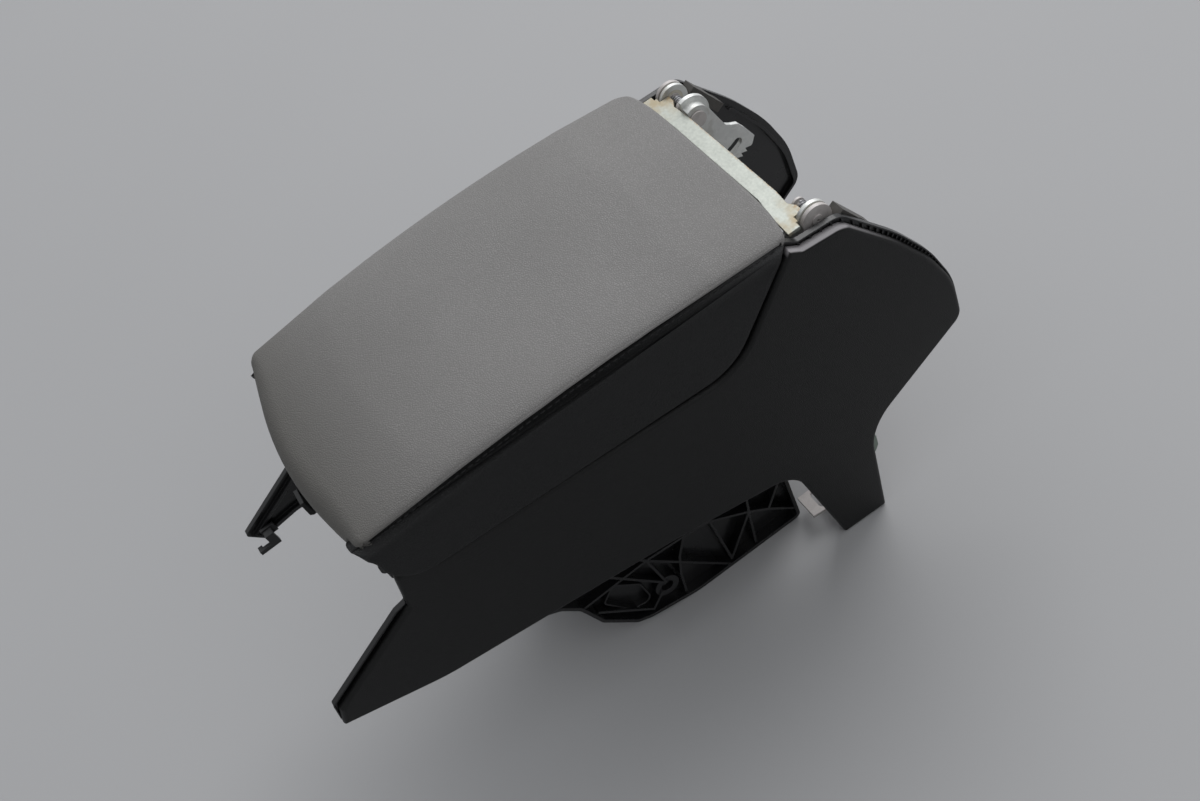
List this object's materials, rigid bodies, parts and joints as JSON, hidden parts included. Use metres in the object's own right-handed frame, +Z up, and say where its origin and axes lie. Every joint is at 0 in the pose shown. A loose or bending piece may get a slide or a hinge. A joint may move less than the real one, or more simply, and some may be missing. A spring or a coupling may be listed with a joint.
{
  "type": "car centre armrest",
  "caption": "Leather-topped centre armrest lid on a ratcheting hinge, over a ribbed storage bin with a trim cheek on each side.",
  "frame": {"origin": "middle of the footprint box on the plane of the feet, under the middle of the assembly", "axes": "+X to the left-hand side, +Y to the rear where the hinge is, +Z up"},
  "size_m": [0.181, 0.4413, 0.283],
  "materials": {
    "leather_top": "mid-grey fine-grained leather, matt",
    "leather_side": "near-black fine-grained leather with a stitched seam",
    "foam": "moulded polyurethane foam, hidden",
    "black_plastic": "moulded black plastic, matt",
    "gloss_black": "moulded black plastic, glossy",
    "trim_skin": "very dark grey moulded skin with a fine grain",
    "zinc_steel": "zinc-plated steel, slightly stained",
    "grey_steel": "grey coated steel",
    "spring_steel": "drawn spring wire",
    "clip_steel": "dark coated spring sheet",
    "rubber": "black rubber",
    "bush_plastic": "self-coloured bearing plastic",
    "clip_plastic": "translucent grey-green plastic"
  },
  "bodies": {
    "base": {"hinge_bracket_left": "grey_steel", "hinge_bracket_right": "grey_steel", "bracket_brace": "grey_steel", "brace_rivets": "zinc_steel", "pivot_pin_left": "grey_steel", "pivot_pin_right": "grey_steel", "lift_spring_left": "spring_steel", "lift_spring_right": "spring_steel", "ratchet_plate": "grey_steel", "stop_pin": "grey_steel", "pawl_pin": "grey_steel", "pawl_spring": "spring_steel", "cheek_skin_left": "trim_skin", "cheek_skin_right": "trim_skin", "cheek_carrier_left": "gloss_black", "cheek_carrier_right": "gloss_black", "storage_bin": "gloss_black", "rib_panel_left": "gloss_black", "rib_panel_right": "gloss_black", "bin_screws": "grey_steel", "catch_plate": "zinc_steel", "corner_buffers": "rubber", "top_clip_left": "clip_steel", "top_clip_right": "clip_steel", "tip_lug_left": "black_plastic", "tip_hook_right": "black_plastic", "waist_clip_left": "clip_plastic", "waist_clip_right": "clip_plastic"},
    "pad": {"pad_top_cover": "leather_top", "pad_side_cover_left": "leather_side", "pad_side_cover_right": "leather_side", "pad_foam": "foam", "pad_frame": "black_plastic", "pad_bottom_cover": "black_plastic", "frame_screws": "zinc_steel", "lever_pin": "zinc_steel", "lever_spring": "spring_steel", "crossbar": "zinc_steel", "hinge_arm_left": "zinc_steel", "hinge_arm_right": "zinc_steel", "pivot_bush_left": "bush_plastic", "pivot_bush_right": "bush_plastic", "ratchet_sector": "zinc_steel"},
    "pawl": {"pawl": "zinc_steel"},
    "lever": {"release_lever": "black_plastic"}
  },
  "joints": [
    {"name": "pad_hinge", "type": "hinge", "parent": "base", "child": "pad", "pos_m": [0, 0.1542, 0.2605], "axis": [-1, 0, 0], "range_deg": [0, 60]},
    {"name": "pawl_pivot", "type": "hinge", "parent": "base", "child": "pawl", "pos_m": [-0.052, 0.1316, 0.1985], "axis": [1, 0, 0], "range_deg": [0, 8]},
    {"name": "lever_pivot", "type": "hinge", "parent": "pad", "child": "lever", "pos_m": [0, -0.1379, 0.238], "axis": [-1, 0, 0], "range_deg": [0, 15], "stiffness_Nm_per_rad": 0.4, "springref_deg": -11.46}
  ]
}
